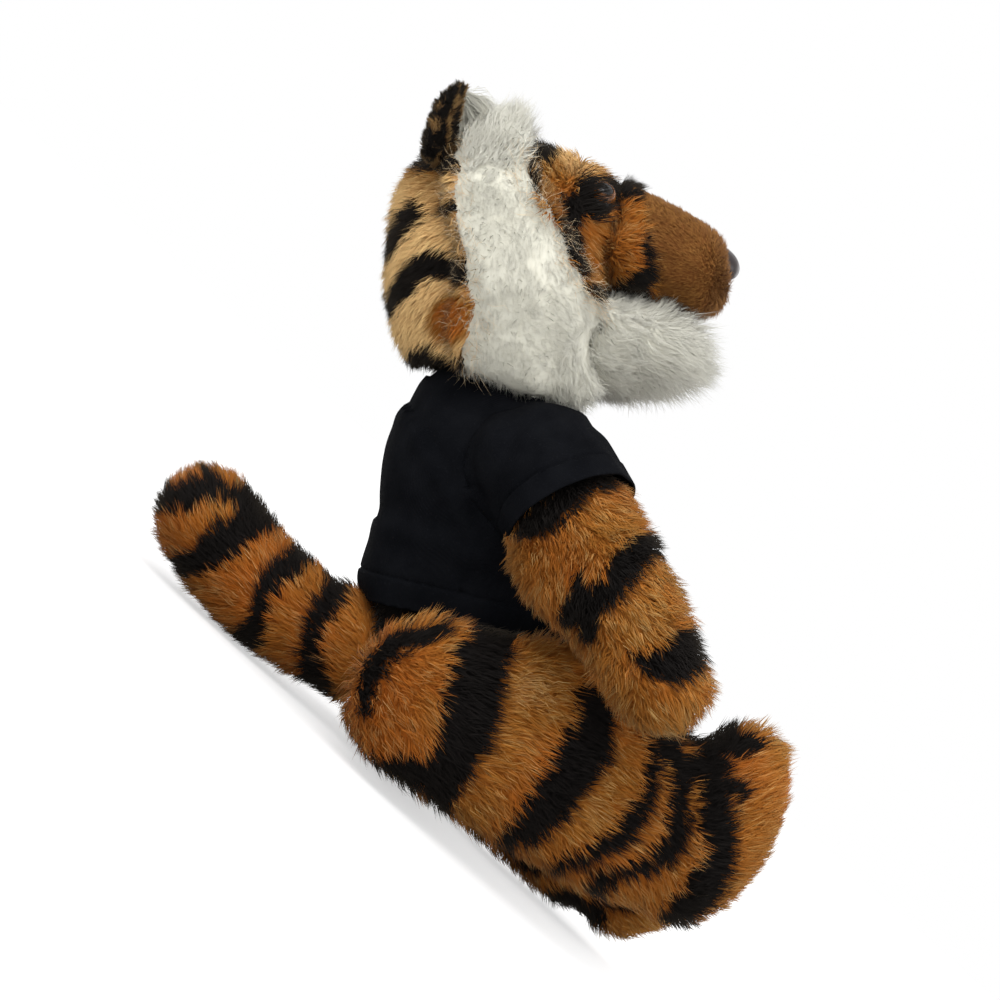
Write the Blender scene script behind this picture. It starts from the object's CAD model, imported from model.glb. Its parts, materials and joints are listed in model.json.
"""Sitting plush tiger in a plain T-shirt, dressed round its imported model.

All sizes are in metres, +Z is up, the tiger faces -Y and its own right side is at -X.
Fur fabric is a padded skin with its pile grown on it as fine tapered locks. The stripes are
strokes in the plane of the tiger's side view, and both sides wear the same ones.
"""

import json
import math
from collections import namedtuple

import bmesh
import bpy
import numpy as np
from mathutils import Matrix, Vector
from mathutils.bvhtree import BVHTree

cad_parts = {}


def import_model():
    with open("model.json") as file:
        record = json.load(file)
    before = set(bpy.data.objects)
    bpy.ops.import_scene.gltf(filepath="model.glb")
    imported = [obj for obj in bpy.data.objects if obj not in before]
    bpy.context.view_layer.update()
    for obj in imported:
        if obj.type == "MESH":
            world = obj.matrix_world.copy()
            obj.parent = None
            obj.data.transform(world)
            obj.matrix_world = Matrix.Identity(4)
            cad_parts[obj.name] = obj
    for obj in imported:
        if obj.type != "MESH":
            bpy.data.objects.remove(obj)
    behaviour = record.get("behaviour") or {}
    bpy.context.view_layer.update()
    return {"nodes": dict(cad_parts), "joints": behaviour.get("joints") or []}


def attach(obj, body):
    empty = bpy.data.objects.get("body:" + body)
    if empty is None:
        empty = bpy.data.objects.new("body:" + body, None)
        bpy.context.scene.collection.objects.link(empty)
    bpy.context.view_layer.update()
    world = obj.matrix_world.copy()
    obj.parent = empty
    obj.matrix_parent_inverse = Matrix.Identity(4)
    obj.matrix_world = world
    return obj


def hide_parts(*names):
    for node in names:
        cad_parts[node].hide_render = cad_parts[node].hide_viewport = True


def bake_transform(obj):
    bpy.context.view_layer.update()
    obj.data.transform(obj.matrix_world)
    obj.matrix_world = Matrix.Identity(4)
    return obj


bl_info = {
    "name": "Plush Tiger",
    "version": (1, 0, 0),
    "blender": (4, 5, 0),
    "location": "View3D > Sidebar > Plush Tiger",
    "description": "Sews, stuffs and dresses a sitting plush tiger",
    "category": "Object",
}

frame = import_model()
NODES = frame["nodes"]
JOINTS = {joint["name"]: joint for joint in frame["joints"]}

MM = 0.001
SIDES = (("right", -1.0), ("left", 1.0))

# Joint centres and directions of the frame
NECK = Vector(JOINTS["head_turn"]["pos_m"])
HIP = Vector((0.0, 0.0, JOINTS["leg_left_swing"]["pos_m"][2]))
TAIL_SEAM = Vector(JOINTS["tail_wag"]["pos_m"])
SHOULDER = {label: Vector(JOINTS[f"arm_{label}_swing"]["pos_m"]) for label, _ in SIDES}
UP_BODY = Vector(JOINTS["head_turn"]["axis"]).normalized()
FORWARD = Vector((0.0, -UP_BODY.z, UP_BODY.y))
HEAD = Vector((0.0, 95.7 * MM, 197.5 * MM))
# The body's two directions as rows
UP_ROW = np.array(UP_BODY)
FORWARD_ROW = np.array(FORWARD)
# The way that each arm hangs, and how far each leg is raised
ARM_ROWS = {label: np.array((side * 0.397, -0.852, -0.342)) for label, side in SIDES}
LEG_RAISE = {"right": math.radians(13), "left": 0.0}

# The side view's plane, in which the stripes are drawn
VIEW_TURN = math.radians(42)
VIEW_SCALE = 0.42 * MM
VIEW_DISTANCE = 1.0
VIEW_Y = 33.51 * MM
VIEW_Z = 118.99 * MM
VIEW_MIDDLE = 500.0

# Strokes: each is a row of (across, down, width) in the side view's units
HEAD_STROKES = (
    ((424, 157, 24), (440, 153, 22), (462, 158, 26)),
    ((386, 252, 8), (398, 232, 16), (409, 217, 20), (420, 209, 18)),
    ((443, 209, 5), (452, 204, 13), (462, 204, 14)),
    ((388, 304, 14), (397, 292, 20), (406, 283, 22), (419, 266, 25), (434, 257, 28),
     (452, 264, 25), (474, 274, 20)),
    ((403, 370, 26), (416, 356, 24), (430, 352, 20), (446, 358, 14), (466, 366, 10)),
    ((540, 150, 34), (556, 146, 27), (572, 143, 15), (584, 147, 10)),
    ((537, 152, 10), (533, 170, 8), (538, 186, 6)),
    ((634, 188, 24), (611, 186, 27), (591, 191, 26), (575, 203, 24), (571, 218, 22),
     (573, 236, 18), (576, 256, 16), (579, 274, 10)),
    ((639, 232, 5), (646, 254, 14), (647, 272, 22), (632, 288, 24), (608, 292, 18),
     (590, 284, 12)),
)
ARM_STROKES = (
    ((528, 520, 30), (551, 506, 30), (566, 490, 28), (586, 475, 24), (613, 471, 16)),
    ((658, 534, 24), (640, 545, 28), (627, 560, 28), (615, 580, 24), (600, 592, 26),
     (583, 598, 30), (571, 609, 34)),
    ((577, 571, 7), (582, 586, 18)),
    ((585, 602, 24), (584, 630, 18)),
    ((631, 655, 5), (650, 664, 20), (668, 662, 36), (684, 648, 38), (700, 634, 30),
     (712, 628, 18)),
)
LEG_STROKES = (
    ((362, 706, 10), (366, 684, 16), (373, 663, 19), (387, 647, 18), (406, 638, 16),
     (438, 630, 14)),
    ((492, 628, 42), (476, 665, 50), (468, 705, 53), (458, 740, 48), (444, 768, 40),
     (436, 797, 26)),
    ((450, 765, 36), (420, 772, 36), (395, 769, 26), (370, 764, 12)),
    ((584, 690, 18), (592, 715, 34), (584, 742, 46), (566, 770, 48), (548, 798, 43),
     (528, 822, 30), (500, 836, 14)),
    ((650, 738, 8), (650, 770, 9), (646, 795, 12), (636, 812, 16), (612, 838, 20),
     (582, 857, 14), (545, 863, 6)),
    ((668, 742, 16), (676, 775, 15), (677, 812, 17), (670, 842, 20), (648, 862, 17),
     (622, 869, 12)),
    ((612, 872, 12), (597, 879, 18), (586, 889, 10)),
    ((706, 756, 26), (711, 790, 28), (714, 825, 28), (714, 862, 32), (700, 893, 34),
     (676, 914, 26), (656, 922, 12)),
    ((686, 727, 20), (712, 735, 28), (740, 744, 24), (757, 744, 10)),
    ((690, 764, 24), (712, 764, 26)),
    ((728, 786, 16), (738, 792, 12)),
)
FAR_LEG_STROKES = (
    ((500, 846, 16), (512, 862, 26), (530, 878, 26)),
    ((556, 918, 22), (574, 930, 30), (592, 940, 30)),
    ((602, 914, 18), (622, 920, 16), (636, 922, 10)),
)
TAIL_STROKES = (
    ((152, 507, 22), (166, 507, 28), (180, 504, 30), (197, 495, 29), (214, 493, 23),
     (230, 498, 13)),
    ((213, 490, 8), (212, 474, 8), (212, 450, 8)),
    ((236, 497, 14), (250, 506, 28), (262, 519, 24), (273, 531, 12)),
    ((164, 570, 10), (182, 571, 20), (206, 563, 28), (222, 549, 33), (241, 536, 33),
     (262, 530, 22)),
    ((278, 526, 8), (293, 533, 11), (304, 541, 8)),
    ((223, 640, 10), (242, 645, 22), (256, 641, 26), (262, 618, 18), (266, 600, 18),
     (277, 583, 24), (295, 569, 24), (316, 555, 18)),
    ((322, 698, 24), (316, 669, 20), (314, 642, 16), (323, 617, 20), (340, 597, 26),
     (348, 577, 24), (354, 558, 20)),
)
STROKES = {
    "head": HEAD_STROKES, "arm": ARM_STROKES, "leg": LEG_STROKES, "tail": TAIL_STROKES, "body": (),
}
# How much wider than its strokes each region's black is
STRIPE_SPREAD = {"head": 0.5, "arm": 2.5, "leg": 3.5, "tail": 2.5, "body": 2.5}
# The edges of the stripes wander in waves, each with its height, size and seed, and lock by lock
EDGE_WAVES = ((2.0, 5 * MM, 11), (1.2, 2.2 * MM, 12))
EDGE_STRAY = 1.2
EDGE_SOFTNESS = 2.5
# Tone of each region between its stripes, from rust at 0 to cream at 1, and where it changes:
# rows of across, down, size and change
TONES = {"head": 0.6, "arm": 0.26, "leg": 0.24, "tail": 0.14, "body": 0.25}
TONE_PATCHES = {
    "head": ((405, 250, 60, 0.36), (408, 330, 52, 0.46), (450, 314, 24, -0.95),
     (600, 240, 70, -0.42), (640, 310, 26, -0.2)),
    "arm": ((650, 615, 30, 0.12), (620, 520, 40, 0.05), (690, 700, 40, -0.08)),
    "leg": ((346, 640, 20, 0.45), (392, 604, 22, 0.45), (368, 722, 56, -0.26),
     (400, 660, 44, -0.1), (540, 690, 40, 0.06), (640, 800, 70, 0.02), (770, 800, 46, -0.1)),
    "tail": ((245, 610, 40, -0.16), (190, 530, 30, -0.05), (300, 640, 40, -0.1)),
    "body": (),
}
# Up to this height the left leg shows the strokes that are drawn for it
FAR_LEG_TOP = 34 * MM
# The white ruff's outline in the same units: down its back edge and up its front edge
RUFF_OUTLINE = (
    (478, 100), (466, 116), (460, 140), (458, 188), (456, 218), (462, 239), (470, 277), (474, 310),
    (465, 340), (462, 362), (470, 400), (560, 440), (660, 430), (690, 330), (655, 306), (627, 317),
    (604, 306), (583, 287), (572, 264), (560, 228), (540, 204), (528, 176), (530, 152), (537, 132),
    (526, 104), (505, 92),
)
# Where the striped face pile ends and the short snout pile starts, from the brow down
SNOUT_EDGE = ((640, 150), (633, 190), (638, 215), (646, 245), (653, 275), (656, 300), (654, 330))
# The front edge of an ear's back, from its top down, and how far in front of it the lining starts
EAR_EDGE = ((471, 88), (467, 106), (460, 142), (458, 188))
EAR_LINING_EDGE = -6
# Where a ruff meets its ear, as its lower end and its two sides, and where its tuft is full
TUFT_LOW, TUFT_BACK, TUFT_FRONT = 170, 462, 521
TUFT_FADES = (174, 132)


def linear(red, green, blue):
    """A colour as it is seen, 0 to 255, as the linear values that a shader takes."""
    shares = [value / 255 for value in (red, green, blue)]
    return tuple(c / 12.92 if c <= 10 / 255 else ((c + 0.055) / 1.055) ** 2.4 for c in shares)


def length(name, description, default, unit="LENGTH"):
    return bpy.props.FloatProperty(name=name, description=description, default=default, unit=unit)


def colour(name, description, *seen):
    default = linear(*seen)
    return bpy.props.FloatVectorProperty(
        name=name, description=description, default=default, subtype="COLOR"
    )


class FurSizes(bpy.types.PropertyGroup):
    body_pile: length("Body pile", "Length of the pile on limbs, body and tail", 9.5 * MM)
    head_pile: length("Head pile", "Length of the pile on the head", 8 * MM)
    snout_pile: length("Snout pile", "Length of the pile on the snout", 3.6 * MM)
    ruff_pile: length("Ruff pile", "Length of the white pile on the cheeks", 7.5 * MM)
    lock_width: length("Lock width", "Width of a body lock at its root", 0.54 * MM)
    cream: colour("Cream", "The lightest pile, as on the back of the head", 255, 212, 146)
    tan: colour("Tan", "Pile between the stripes", 152, 101, 38)
    rust: colour("Rust", "Deepest orange of the pile", 164, 89, 26)
    stripe_black: colour("Stripe black", "Black of the stripes", 12, 9, 8)
    ruff_white: colour("Ruff white", "Tips of the white pile", 212, 210, 196)
    ruff_shade: colour("Ruff shade", "Roots of the white pile", 200, 197, 181)
    snout_brown: colour("Snout brown", "Tips of the snout's pile", 146, 101, 48)


class ShirtSizes(bpy.types.PropertyGroup):
    looseness: length("Looseness", "How far the shirt stands off at its hem", 3.2 * MM)
    cloth: length("Cloth", "Thickness of the jersey", 0.9 * MM)
    hem: length("Hem", "Height of the folded hem", 11 * MM)
    jersey: colour("Jersey", "Colour of the shirt", 9, 10, 13)


class StageSizes(bpy.types.PropertyGroup):
    focal_length: length("Focal length", "Lens of the camera", 36 / 0.42, "CAMERA")
    floor_size: length("Floor size", "Side of the floor", 12.0)


# Geometry helpers


def deselect_all():
    if bpy.context.mode != "OBJECT":
        bpy.ops.object.mode_set(mode="OBJECT")
    bpy.ops.object.select_all(action="DESELECT")


def make_active(piece):
    deselect_all()
    piece.select_set(True)
    bpy.context.view_layer.objects.active = piece


def link(name, mesh):
    piece = bpy.data.objects.new(name, mesh)
    bpy.context.scene.collection.objects.link(piece)
    return piece


def piece_from(name, shape):
    """A piece made from a bmesh, which is freed."""
    mesh = bpy.data.meshes.new(name)
    shape.to_mesh(mesh)
    shape.free()
    return link(name, mesh)


def apply_modifier(piece, name, kind, **settings):
    """Adds one modifier and applies it."""
    modifier = piece.modifiers.new(name, kind)
    for key, value in settings.items():
        setattr(modifier, key, value)
    make_active(piece)
    bpy.ops.object.modifier_apply(modifier=name)


def shade_smooth(mesh):
    mesh.polygons.foreach_set("use_smooth", np.ones(len(mesh.polygons), dtype=bool))


def write_attribute(mesh, key, values):
    layer = mesh.attributes.new(key, "FLOAT", "POINT")
    layer.data.foreach_set("value", np.ascontiguousarray(values, dtype=np.float32))


def vertex_array(mesh):
    points = np.empty(len(mesh.vertices) * 3)
    mesh.vertices.foreach_get("co", points)
    return points.reshape(-1, 3)


def set_vertex_array(mesh, points):
    mesh.vertices.foreach_set("co", points.ravel())
    mesh.update()


def normal_array(mesh):
    normals = np.empty(len(mesh.vertices) * 3)
    mesh.vertex_normals.foreach_get("vector", normals)
    return normals.reshape(-1, 3)


def triangle_array(mesh):
    mesh.calc_loop_triangles()
    corners = np.empty(len(mesh.loop_triangles) * 3, dtype=np.int64)
    mesh.loop_triangles.foreach_get("vertices", corners)
    return corners.reshape(-1, 3)


def middle_of(node):
    """The mean of a node's corners."""
    return vertex_array(NODES[node].data).mean(axis=0)


def unit(vectors):
    return vectors / np.maximum(np.linalg.norm(vectors, axis=1, keepdims=True), 1e-12)


def smooth_step(low, high, values):
    share = np.clip((values - low) / (high - low), 0, 1)
    return share * share * (3 - 2 * share)


def above(points, place):
    """How far each point lies from a place along the body's axis."""
    return (points - np.array(place)) @ UP_ROW


def ahead_of(points, place):
    """How far each point lies from a place to the front."""
    return (points - np.array(place)) @ FORWARD_ROW


def on_head(ahead, up):
    """The place that lies some millimetres in front of the head's middle and above it."""
    return HEAD + FORWARD * ahead * MM + UP_BODY * up * MM


def drift(points, size, seed):
    """Smooth noise from -1 to 1, with hills about size apart."""
    random = np.random.default_rng(seed)
    total = np.zeros(len(points))
    for _ in range(6):
        direction = random.normal(size=3)
        direction *= math.tau / (size * random.uniform(1.4, 2.8)) / np.linalg.norm(direction)
        total += np.sin(points @ direction + random.uniform(0, math.tau))
    return total / 3


def tree_of(nodes):
    """A search tree over the frame's nodes, in the frame's own coordinates."""
    points = []
    faces = []
    for node in nodes:
        mesh = NODES[node].data
        offset = len(points)
        points.extend(vertex.co[:] for vertex in mesh.vertices)
        faces.extend(tuple(offset + k for k in polygon.vertices) for polygon in mesh.polygons)
    return BVHTree.FromPolygons(points, faces)


def distances(nodes, points, reach=0.03):
    """How far each point lies from some of the frame's nodes, at most reach."""
    tree = tree_of(nodes)
    result = np.full(len(points), reach)
    for index, point in enumerate(points):
        found = tree.find_nearest(point, reach)
        if found[0] is not None:
            result[index] = found[3]
    return result


def inside(tree, points):
    """Which points a closed surface holds: their rays meet it an odd number of times."""
    way = Vector((0.31, 0.19, 0.93)).normalized()
    past = way * (0.01 * MM)
    result = np.zeros(len(points), dtype=bool)
    for index, point in enumerate(points):
        location = tree.ray_cast(Vector(point), way)[0]
        while location is not None:
            result[index] = not result[index]
            location = tree.ray_cast(location + past, way)[0]
    return result


def outside(trees, points):
    """Which points none of some closed surfaces holds."""
    free = np.ones(len(points), dtype=bool)
    for tree in trees:
        free &= ~inside(tree, points)
    return free


def largest_island(mesh):
    """Keeps only the island of a mesh that has the most faces."""
    shape = bmesh.new()
    shape.from_mesh(mesh)
    left = set(shape.faces)
    best = []
    while left:
        stack = [left.pop()]
        island = []
        while stack:
            face = stack.pop()
            island.append(face)
            for edge in face.edges:
                for other in edge.link_faces:
                    if other in left:
                        left.remove(other)
                        stack.append(other)
        if len(island) > len(best):
            best = island
    keep = set(best)
    gone = [face for face in shape.faces if face not in keep]
    bmesh.ops.delete(shape, geom=gone, context="FACES")
    shape.to_mesh(mesh)
    shape.free()


def padded_copy(name, nodes, voxel=2.6 * MM, rounding=14, clips=()):
    """One closed stuffed form over some of the frame's nodes, with their facets rounded off.

    Clips holds, for a node that is cut short, the plane's point and the way that falls off.
    """
    overlap = 0.9 * MM
    shape = bmesh.new()
    for node in nodes:
        part = bmesh.new()
        part.from_mesh(NODES[node].data)
        bmesh.ops.remove_doubles(part, verts=part.verts, dist=0.01 * MM)
        if "stuffing" in node or "bag" in node:
            part.normal_update()
            moved = [(vertex, vertex.normal * overlap) for vertex in part.verts]
            for vertex, step in moved:
                vertex.co += step
        if node in clips:
            point, way = clips[node]
            cut = bmesh.ops.bisect_plane(
                part, geom=[*part.verts, *part.edges, *part.faces], plane_co=point, plane_no=way,
                clear_outer=True,
            )
            rim = [item for item in cut["geom_cut"] if isinstance(item, bmesh.types.BMEdge)]
            bmesh.ops.triangle_fill(part, edges=rim, use_beauty=True, normal=way)
        scratch = bpy.data.meshes.new("scratch")
        part.to_mesh(scratch)
        part.free()
        shape.from_mesh(scratch)
        bpy.data.meshes.remove(scratch)
    piece = piece_from(name, shape)
    apply_modifier(piece, "Remesh", "REMESH", mode="VOXEL", voxel_size=voxel)
    largest_island(piece.data)
    apply_modifier(piece, "Smooth", "SMOOTH", factor=0.5, iterations=rounding)
    return piece


def press_in(piece, depth, neighbours=(), near=1.0 * MM, reach=13 * MM):
    """Moves a form's surface in by the pile's height, by less where a neighbour presses."""
    mesh = piece.data
    points = vertex_array(mesh)
    normals = normal_array(mesh)
    room = np.full(len(points), depth)
    if neighbours:
        away = distances(neighbours, points, reach)
        room = near + (depth - near) * smooth_step(0.5 * MM, reach, away)
    set_vertex_array(mesh, points - normals * room[:, None])
    apply_modifier(piece, "Settle", "SMOOTH", factor=0.5, iterations=4)


def ruffle(piece):
    """Fluffs up a white pad: soft hollows and a little roughness all over it."""
    points = vertex_array(piece.data)
    step = 0.5 * MM * drift(points, 9 * MM, 61) + 0.3 * MM * drift(points, 3.5 * MM, 62)
    set_vertex_array(piece.data, points + normal_array(piece.data) * step[:, None])


def swell(piece, centre, out, radius, amount):
    """Fills a form out on one side, most at a centre."""
    points = vertex_array(piece.data)
    out = np.array(out)
    near = np.exp(-((np.linalg.norm(points - np.array(centre), axis=1) / radius) ** 2))
    facing = smooth_step(-0.2, 0.7, normal_array(piece.data) @ out)
    set_vertex_array(piece.data, points + (near * facing * amount)[:, None] * out)


def bisect(shape, point, normal, near=None):
    """Cuts a bmesh by a plane, only where near says so."""
    faces = [face for face in shape.faces if near is None or near(face.calc_center_median())]
    geometry = set(faces)
    for face in faces:
        geometry.update(face.edges)
        geometry.update(face.verts)
    bmesh.ops.bisect_plane(
        shape, geom=list(geometry), dist=1e-6, plane_co=point, plane_no=normal
    )


# Places in the side view


def side_view(points):
    """Points of the toy in the units of its side view. Both sides fall on the same place."""
    scale = VIEW_SCALE * (VIEW_DISTANCE - np.abs(points[:, 0])) / VIEW_DISTANCE
    back = -(points[:, 1] - VIEW_Y) / scale
    up = (points[:, 2] - VIEW_Z) / scale
    across = back * math.cos(VIEW_TURN) + up * math.sin(VIEW_TURN)
    higher = -back * math.sin(VIEW_TURN) + up * math.cos(VIEW_TURN)
    return np.column_stack([VIEW_MIDDLE + across, VIEW_MIDDLE - higher])


def ragged_view(points, reach, size, seed):
    """Side view places, shifted in waves, so that what is drawn there gets ragged edges."""
    shift = np.column_stack([drift(points, size, seed), drift(points, size, seed + 1)])
    return side_view(points) + reach * shift


def stroke_distance(places, strokes):
    """How far each place lies outside the nearest stroke, negative inside one."""
    result = np.full(len(places), 1e3)
    for stroke in strokes:
        for (ax, ay, aw), (bx, by, bw) in zip(stroke, stroke[1:]):
            start = np.array([ax, ay])
            along = np.array([bx - ax, by - ay])
            share = np.clip(((places - start) @ along) / (along @ along), 0, 1)
            nearest = start + share[:, None] * along
            gap = np.linalg.norm(places - nearest, axis=1) - (aw + (bw - aw) * share) / 2
            result = np.minimum(result, gap)
    return result


def line_distance(places, line):
    """How far each place lies from a line of points, and on which side."""
    result = np.full(len(places), 1e3)
    hand = np.zeros(len(places))
    for start, end in zip(line, line[1:]):
        start = np.array(start, dtype=float)
        along = np.array(end, dtype=float) - start
        share = np.clip(((places - start) @ along) / (along @ along), 0, 1)
        gap = places - (start + share[:, None] * along)
        far = np.linalg.norm(gap, axis=1)
        closer = far < result
        result = np.where(closer, far, result)
        hand = np.where(closer, np.sign(along[0] * gap[:, 1] - along[1] * gap[:, 0]), hand)
    return result * hand


def in_outline(places, outline):
    """Which places lie inside a closed outline."""
    result = np.zeros(len(places), dtype=bool)
    corners = list(outline)
    for (ax, ay), (bx, by) in zip(corners, corners[1:] + corners[:1]):
        if ay == by:
            continue
        crosses = (places[:, 1] < ay) != (places[:, 1] < by)
        at = ax + (places[:, 1] - ay) / (by - ay) * (bx - ax)
        result ^= crosses & (places[:, 0] < at)
    return result


def edge_at(places, line):
    """How far across a line of points lies at the height of each place."""
    return np.interp(places[:, 1], [down for _, down in line], [across for across, _ in line])


def leg_places(points, label):
    """Side view places on the right leg, to which the left leg is raised."""
    if label == "right":
        return side_view(points)
    turn = LEG_RAISE["left"] - LEG_RAISE["right"]
    y = points[:, 1] - HIP.y
    z = points[:, 2] - HIP.z
    raised = points.copy()
    raised[:, 1] = HIP.y + y * math.cos(turn) - z * math.sin(turn)
    raised[:, 2] = HIP.z + y * math.sin(turn) + z * math.cos(turn)
    return side_view(raised)


# Which fur is where

# Where the muzzle grows out of the head
MUZZLE_ROOT = on_head(48, 20)


def on_crown(points):
    """Which points lie on top of the head, between the ears."""
    return (above(points, HEAD) > 26 * MM) & (np.abs(points[:, 0]) < 24 * MM)


def white_share(points):
    """Where the head's pile is white: on the cheeks, and right across below them."""
    places = ragged_view(points, 3.0, 6 * MM, 41)
    return in_outline(places, RUFF_OUTLINE) & ~on_crown(points)


def on_face(points):
    """Which points of the muzzle wear the face's striped pile."""
    places = ragged_view(points, 2.0, 5 * MM, 45)
    return places[:, 0] < edge_at(places, SNOUT_EDGE)


def on_top(points):
    """Which points lie where a ruff meets its ear."""
    places = side_view(points)
    low = places[:, 1] + 10 * drift(points, 5 * MM, 33)
    return (low < TUFT_LOW) & (places[:, 0] > TUFT_BACK) & (places[:, 0] < TUFT_FRONT)


def on_cheek(points):
    """Which points of the head are near the ruffs' edges, where their pads end."""
    away = nearest_of("cheek_ruff", points)
    return (away > 1.5 * MM) & (above(points, NECK) > 30 * MM)


def nearest_of(pair, points):
    """How far each point lies from the nearer one of a pair of nodes."""
    return np.minimum(*(distances([f"{pair}_{label}"], points) for label, _ in SIDES))


def front_of_ear(points, normals, opening):
    """Which points of an ear wear the white lining's pile."""
    places = side_view(points)
    edge = edge_at(places, EAR_EDGE)
    opened = (normals @ opening > -0.2) & (places[:, 0] > edge)
    in_lining = places[:, 0] > edge + EAR_LINING_EDGE
    return in_lining & ((normals @ FORWARD_ROW > 0.6) | opened)


def under_hem(points):
    """How black the body's fur is: it is black from just under the shirt's hem."""
    return smooth_step(15 * MM, 21 * MM, above(points, HIP))


def stripes_on(points, region, label="right"):
    """Black share and tan share of the pile at some points of a region."""
    places = leg_places(points, label) if region == "leg" else side_view(points)
    gap = stroke_distance(places, STROKES[region])
    if region == "leg" and label == "left":
        far = stroke_distance(side_view(points), FAR_LEG_STROKES)
        gap = np.where(points[:, 2] < FAR_LEG_TOP, far, gap)
    stray = np.random.default_rng(len(points)).normal(size=len(points))
    for wave, size, seed in EDGE_WAVES:
        gap = gap + wave * drift(points, size, seed)
    gap = gap + EDGE_STRAY * stray - STRIPE_SPREAD[region]
    black = 1 - smooth_step(-EDGE_SOFTNESS, EDGE_SOFTNESS, gap)
    tan = TONES[region] + 0.12 * smooth_step(0, 16, gap)
    tan = tan + 0.14 * drift(points, 18 * MM, 13) + 0.05 * stray
    for across, down, size, change in TONE_PATCHES[region]:
        far = np.hypot(places[:, 0] - across, places[:, 1] - down)
        tan += change * smooth_step(size * 1.3, size * 0.5, far)
    return black, np.clip(tan, 0, 1)


def stripes_over(root, normal, region, label="right", rise=3):
    """The tones of some pile, taken some millimetres above its roots."""
    return stripes_on(root + normal * rise * MM, region, label)


def tan_on_snout(points):
    """The snout is light on top and redder below."""
    up = above(points, MUZZLE_ROOT)
    return np.clip(0.5 + up / (36 * MM) + 0.12 * drift(points, 12 * MM, 47), 0, 1)


def beard_share(points):
    """The beard is longest at its front."""
    return 0.55 + 0.6 * smooth_step(45 * MM, 85 * MM, ahead_of(points, HEAD))


def head_flow(points, region):
    """The way that the head's pile is brushed at some points of a region."""
    from_muzzle = unit(points - np.array(MUZZLE_ROOT))
    ahead = ahead_of(points, HEAD)
    outward = np.sign(points[:, 0])[:, None] * np.array((1.0, 0.0, 0.0))
    if region == "head":
        share = smooth_step(6 * MM, 30 * MM, ahead)[:, None]
        over = 0.8 * FORWARD_ROW - 0.35 * UP_ROW
        return (from_muzzle - 0.45 * UP_ROW) * (1 - share) + over * share
    if region == "brow":
        return 0.4 * from_muzzle + FORWARD_ROW
    if region == "ruff":
        share = smooth_step(5 * MM, 30 * MM, ahead)
        return -0.9 * UP_ROW + 0.25 * outward + (0.15 + 0.9 * share)[:, None] * FORWARD_ROW
    if region == "chin":
        share = smooth_step(50 * MM, 32 * MM, ahead)[:, None]
        return -0.25 * UP_ROW + (0.9 - 1.4 * share) * FORWARD_ROW + 0.5 * share * outward
    raise ValueError(region)


def tail_flow(points):
    rise = smooth_step(60 * MM, 140 * MM, points[:, 1])
    return np.column_stack([np.zeros(len(points)), np.ones(len(points)), 0.9 * rise - 0.15])


def leg_rows(label):
    """The ways along a leg and square to it, upwards."""
    turn = LEG_RAISE[label]
    along = np.array((0.0, -math.cos(turn), math.sin(turn)))
    return along, np.array((0.0, math.sin(turn), math.cos(turn)))


def leg_flow(points, label):
    along, up = leg_rows(label)
    foot = smooth_step(100 * MM, 135 * MM, (points - np.array(HIP)) @ along)
    return along * (1 - 0.6 * foot)[:, None] + up * (0.55 * foot)[:, None]


# Pile


def scatter(mesh, count, seed):
    """Random roots on a mesh, with their normals."""
    random = np.random.default_rng(seed)
    points = vertex_array(mesh)
    normals = normal_array(mesh)
    triangles = triangle_array(mesh)
    a, b, c = (points[triangles[:, k]] for k in range(3))
    areas = np.linalg.norm(np.cross(b - a, c - a), axis=1) / 2
    edges = np.cumsum(areas)
    picks = (np.arange(count) + random.random(count)) / count * edges[-1]
    chosen = np.minimum(np.searchsorted(edges, picks), len(edges) - 1)
    u = np.sqrt(random.random(count))
    v = random.random(count)
    weights = np.column_stack([1 - u, u * (1 - v), u * v])
    corners = triangles[chosen]
    root = sum(points[corners[:, k]] * weights[:, k, None] for k in range(3))
    normal = unit(sum(normals[corners[:, k]] * weights[:, k, None] for k in range(3)))
    return root, normal


def clump(points, size):
    """The number of the clump that each point belongs to, and how many clumps there are."""
    wander = np.column_stack([drift(points, 4 * size, seed) for seed in (31, 32, 33)])
    cells = np.floor((points + 0.35 * size * wander) / size).astype(np.int64)
    keys = (cells[:, 0] * 4099 + cells[:, 1]) * 4099 + cells[:, 2]
    _, index = np.unique(keys, return_inverse=True)
    return index, index.max() + 1


def clump_mean(values, index, number):
    counts = np.bincount(index, minlength=number)
    sums = [np.bincount(index, weights=values[:, k], minlength=number) for k in range(3)]
    return (np.column_stack(sums) / counts[:, None])[index]


def lock_faces(steps):
    """The triangles of one closed lock: its foot, its sides and its tip, over rings of three."""
    faces = [(0, 2, 1)]
    for low in range(0, 3 * (steps - 1), 3):
        for corner in range(3):
            after = (corner + 1) % 3
            faces.append((low + corner, low + after, low + 3 + corner))
            faces.append((low + after, low + 3 + after, low + 3 + corner))
    top = 3 * (steps - 1)
    faces += [(top + corner, top + (corner + 1) % 3, 3 * steps) for corner in range(3)]
    return np.array(faces)


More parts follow.
